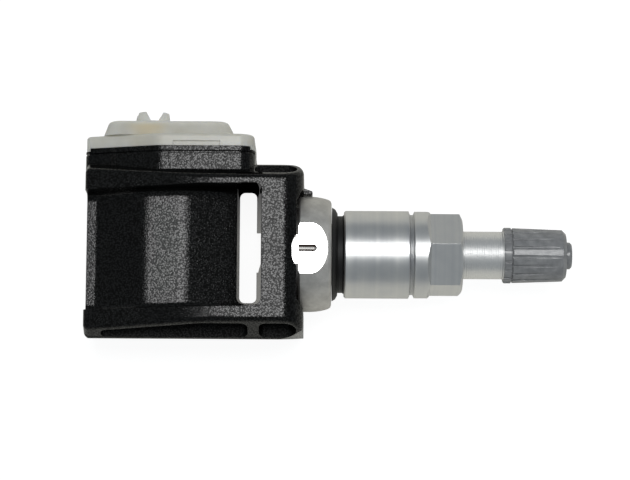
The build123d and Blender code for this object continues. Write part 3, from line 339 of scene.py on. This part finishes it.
anyPlastic = {"cloud": 1.25, "cloudSpan": (0.35, 0.7), "skinSpan": (0.3, 0.7), "strength": 0.6, "ior": 1.57}
capPlastic = {"colours": ("#7f8082", "#979899"), "grain": 0.4, "depth": 0.007, "rough": (0.17, 0.27),
              "edge": 0.16}
boardEpoxy = {"colours": ("#1d5a35", "#23663d"), "grain": 0.6, "depth": 0.002, "rough": (0.3, 0.4),
              "edge": 0.03}
chipEpoxy = {"colours": ("#1b1b1d", "#252527"), "grain": 0.1, "depth": 0.004, "rough": (0.5, 0.6),
             "edge": 0.04}
ferrite = {"colours": ("#2c2a2b", "#383536"), "grain": 0.12, "depth": 0.006, "rough": (0.45, 0.6),
           "edge": 0.05}
tantalum = {"colours": ("#c98f2b", "#d29a38"), "grain": 0.2, "depth": 0.003, "rough": (0.4, 0.5),
            "edge": 0.05}
ceramicLid = {"colours": ("#b9b4a6", "#c2beb2"), "grain": 0.2, "depth": 0.003, "rough": (0.35, 0.45),
              "edge": 0.04}


def makeMouldedPlastic(name, look):
    # moulded plastic, cast resin or pressed ceramic: even colour, a satin sheen and slight waves in the skin
    material, tree, place = newMaterial(name)
    cloud = add(tree, "TexNoise", {}, {"Scale": 1 / anyPlastic["cloud"], "Detail": 4.0, "Roughness": 0.6},
                {"Vector": place})
    skin = add(tree, "TexNoise", {}, {"Scale": 1 / look["grain"], "Detail": 2.0}, {"Vector": place})
    rough = add(tree, "MapRange", {}, dict(zip(fromTo, anyPlastic["skinSpan"] + look["rough"])),
                {"Value": skin})
    edge = add(tree, "Bevel", {"samples": edgeSamples}, {"Radius": look["edge"] * mm})
    bump = add(tree, "Bump", {}, {"Strength": anyPlastic["strength"], "Distance": look["depth"] * mm},
               {"Height": skin, "Normal": edge})
    shader = add(tree, "BsdfPrincipled", {}, {"IOR": anyPlastic["ior"]},
                 {"Base Color": blended(tree, cloud, anyPlastic["cloudSpan"], look["colours"]),
                  "Roughness": rough, "Normal": bump})
    add(tree, "OutputMaterial", {}, {}, {"Surface": shader})
    return material


anyMetal = {"span": (0.35, 0.65), "edge": 0.04, "edgeSamples": 4, "depth": 0.002, "strength": 0.4}
rolledSteel = {"colours": ("#a9aaa9", "#c4c4c2"), "grain": 0.25, "rough": (0.22, 0.36)}
platedScrew = {"colours": ("#8c8d8e", "#a7a8a8"), "grain": 0.25, "rough": (0.3, 0.42)}
drawnBrass = {"colours": ("#c3a04f", "#d9b865"), "grain": 0.25, "rough": (0.22, 0.38)}
enamelledCopper = {"colours": ("#9c4d22", "#b4622e"), "grain": 0.06, "rough": (0.2, 0.3)}
cutThread = {"colours": ("#a6a7a8", "#bdbebe"), "grain": 0.3, "rough": (0.26, 0.36)}


def makePlainMetal(name, look):
    # rolled, drawn or plated metal: smooth, with cloudy handling marks
    material, tree, place = newMaterial(name)
    cloud = add(tree, "TexNoise", {}, {"Scale": 1 / look["grain"], "Detail": 4.0, "Roughness": 0.6},
                {"Vector": place})
    rough = add(tree, "MapRange", {}, dict(zip(fromTo, anyMetal["span"] + look["rough"])), {"Value": cloud})
    edge = add(tree, "Bevel", {"samples": anyMetal["edgeSamples"]}, {"Radius": anyMetal["edge"] * mm})
    bump = add(tree, "Bump", {}, {"Strength": anyMetal["strength"], "Distance": anyMetal["depth"] * mm},
               {"Height": cloud, "Normal": edge})
    shader = add(tree, "BsdfPrincipled", {}, {"Metallic": 1.0},
                 {"Base Color": blended(tree, cloud, anyMetal["span"], look["colours"]),
                  "Roughness": rough, "Normal": bump})
    add(tree, "OutputMaterial", {}, {}, {"Surface": shader})
    return material


finishes = {
    "housing": makeGrainedPolyamide("grained black polyamide", grainedPa),
    "lid": makeNaturalPolyamide("natural polyamide", naturalPa),
    "valve_stem": makeValveAluminium("tumbled and milled aluminium", valveAlu),
    "rim_nut": makeTurnedAluminium("turned aluminium", turnedAlu),
    "grommet": makeRubber("moulded rubber", sealRubber),
    "cap": makeMouldedPlastic("moulded grey plastic", capPlastic),
    "hollow_screw": makePlainMetal("plated steel", platedScrew),
    "port_seal": makeRubber("amber silicone", amberSilicone),
    "core_gasket": makeRubber("red core rubber", coreRubber),
    "circuit_board": makeMouldedPlastic("solder-masked epoxy board", boardEpoxy),
    "control_chip": makeMouldedPlastic("black epoxy", chipEpoxy),
    "coil_core": makeMouldedPlastic("pressed ferrite", ferrite),
    "capacitor": makeMouldedPlastic("yellow epoxy", tantalum),
    "pressure_sensor": makeMouldedPlastic("ceramic package", ceramicLid),
    "battery": makePlainMetal("rolled stainless steel", rolledSteel),
    "core_barrel": makePlainMetal("drawn brass", drawnBrass),
    "coil_winding": makePlainMetal("enamelled copper", enamelledCopper),
}
sameFinish = {
    "nut_washer": "rim_nut",
    "core_seal": "grommet",
    "cap_seal": "grommet",
    "crystal": "battery",
    "antenna": "core_barrel",
    "battery_tab_back": "battery",
    "battery_tab_front": "battery",
    "core_pin": "core_barrel",
    "core_spring": "battery",
}
for name, piece in nodes.items():
    finish = finishes[sameFinish.get(name, name)]
    for slot in piece.material_slots:
        slot.material = finish
print("materials on", len(nodes), "nodes")


thread = {
    "pitch": 25.4 / 32,  # 32 turns to the inch
    "root": 3.5, "crest": 3.87, "buried": 3.4, "inner": 3.3, "fade": 0.5,
    "steepness": 1.5, "cut": 0.25, "rowsPerTurn": 12, "columns": 72,
    "spans": {"nut_thread": (2.6, 11.6), "cap_thread": (27.7, 33.3)},
}


def makeThread(name, startX, endX, finish):
    # a tube round the valve's axis. At angle a and place x its radius goes from root to crest as a
    # triangle wave of (x / pitch - a / one turn), so the wave climbs one pitch a turn; times steepness,
    # less cut and held between 0 and 1, it is flat at root and crest. It sinks under the stem's surface
    # at both ends, and a plain inner wall closes it
    rows = int((endX - startX) / thread["pitch"] * thread["rowsPerTurn"])
    x = np.linspace(startX, endX, rows)[:, None]
    a = np.linspace(0, 2 * pi, thread["columns"], endpoint=False)[None, :]
    wave = np.abs(((x / thread["pitch"] - a / (2 * pi)) % 1.0) - 0.5) * 2
    profile = np.clip(wave * thread["steepness"] - thread["cut"], 0, 1)
    fade = np.clip(np.minimum(x - startX, endX - x) / thread["fade"], 0, 1)
    radius = thread["root"] + (thread["crest"] - thread["root"]) * profile * fade
    radius[[0, -1]] = thread["buried"]
    ring = np.full_like(a, thread["inner"])
    radius = np.vstack([ring, radius, ring])
    along = np.vstack([x[:1], x, x[-1:]]) + np.zeros_like(radius)
    points = np.stack([along, radius * np.cos(a), radius * np.sin(a)], axis=-1).reshape(-1, 3) * mm
    height, count = radius.shape
    i = np.arange(height)[:, None]
    j = np.arange(count)[None, :]
    nextI = (i + 1) % height
    nextJ = (j + 1) % count
    quads = np.stack([i * count + j, i * count + nextJ, nextI * count + nextJ, nextI * count + j], axis=-1)
    mesh = bpy.data.meshes.new(name)
    mesh.from_pydata(points.tolist(), [], quads.reshape(-1, 4)[:, ::-1].tolist())
    mesh.polygons.foreach_set("use_smooth", np.ones(len(mesh.polygons), dtype=bool))
    mesh.materials.append(finish)
    piece = bpy.data.objects.new(name, mesh)
    scene.collection.objects.link(piece)
    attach(piece, "valve")


threadFinish = makePlainMetal("rolled aluminium thread", cutThread)
for name, (startX, endX) in thread["spans"].items():
    makeThread(name, startX, endX, threadFinish)
print("threads on the stem")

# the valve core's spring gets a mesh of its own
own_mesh(nodes["core_spring"])


table = {"size": 4000, "colour": "#f4f3f1", "shadow": "#8a8a8a", "glow": 0.92, "mirrored": "#e0ddd3",
         "faint": 0.1}


def makeTable():
    # a plain pale floor at the height of the part's back
    bpy.ops.mesh.primitive_plane_add(size=table["size"] * mm, location=(0, 0, cadBounds[0][2]))
    floor = bpy.context.object
    floor.name = "table"
    material = bpy.data.materials.new("white table")
    material.use_nodes = True
    tree = material.node_tree
    tree.nodes.clear()
    # white where the camera or a clear piece sees it, with the object's faint shadow kept;
    # in a mirror it is the table as the lamp and the sky light it
    matt = add(tree, "BsdfDiffuse", {}, {"Color": linear(table["colour"])})
    dim = add(tree, "BsdfDiffuse", {}, {"Color": linear(table["shadow"])})
    glow = add(tree, "Emission", {}, {"Strength": table["glow"]})
    lit = add(tree, "AddShader", {}, {}, {0: dim, 1: glow})
    warm = add(tree, "BsdfDiffuse", {}, {"Color": linear(table["mirrored"])})
    faint = add(tree, "Emission", {}, {"Strength": table["faint"]})
    mirrored = add(tree, "AddShader", {}, {}, {0: warm, 1: faint})
    path = add(tree, "LightPath")
    seen = add(tree, "Math", {"operation": "MAXIMUM"}, {},
               {0: path.outputs["Is Camera Ray"], 1: path.outputs["Is Transmission Ray"]})
    plain = add(tree, "MixShader", {}, {}, {0: seen, 1: matt, 2: lit})
    mix = add(tree, "MixShader", {}, {}, {0: path.outputs["Is Glossy Ray"], 1: plain, 2: mirrored})
    add(tree, "OutputMaterial", {}, {}, {"Surface": mix})
    floor.data.materials.append(material)


overhead = {"height": 500, "centreX": 30, "centreY": 70, "width": 250, "depth": 165, "radiance": 7.6}
skyGrey = {"upper": "#878c8f", "horizon": "#e4e3e0", "blend": 0.12}


def makeLights():
    # a softbox over the part, and a white horizon under a cool grey ceiling
    data = bpy.data.lights.new("overhead softbox", "AREA")
    data.shape = "RECTANGLE"
    data.size = overhead["width"] * mm
    data.size_y = overhead["depth"] * mm
    data.energy = overhead["radiance"] * pi * data.size * data.size_y
    lamp = bpy.data.objects.new("overhead softbox", data)
    lamp.location = (overhead["centreX"] * mm, overhead["centreY"] * mm, overhead["height"] * mm)
    scene.collection.objects.link(lamp)
    world = bpy.data.worlds.new("studio")
    world.use_nodes = True
    tree = world.node_tree
    tree.nodes.clear()
    direction = add(tree, "TexCoord").outputs["Generated"]
    split = add(tree, "SeparateXYZ", {}, {}, {"Vector": direction})
    grey = blended(tree, split.outputs["Z"], (0.0, skyGrey["blend"]), (skyGrey["horizon"], skyGrey["upper"]))
    back = add(tree, "Background", {}, {}, {"Color": grey})
    add(tree, "OutputWorld", {}, {}, {"Surface": back})
    scene.world = world


# the focal length and the width are in pixels of the photograph, the turns in degrees
photoView = {"target": (-3.77, 2.38, 0), "distance": 400, "tilt": 7.4, "roll": 0.35,
             "focal": 2440, "width": 630, "sensor": 36}


def makeCamera():
    # looks down at the part, tilted a little towards the lid
    data = bpy.data.cameras.new("photo camera")
    data.sensor_width = photoView["sensor"]
    data.lens = photoView["focal"] * photoView["sensor"] / photoView["width"]
    camera = bpy.data.objects.new("photo camera", data)
    turn = Matrix.Rotation(radians(photoView["tilt"]), 4, "X")
    away = turn @ Vector((0, 0, photoView["distance"] * mm))
    target = Vector(photoView["target"]) * mm
    camera.matrix_world = (Matrix.Translation(target + away) @ turn
                           @ Matrix.Rotation(radians(photoView["roll"]), 4, "Z"))
    scene.collection.objects.link(camera)
    scene.camera = camera


makeTable()
makeLights()
makeCamera()
scene.view_settings.view_transform = "Standard"
print("table, light and camera set")
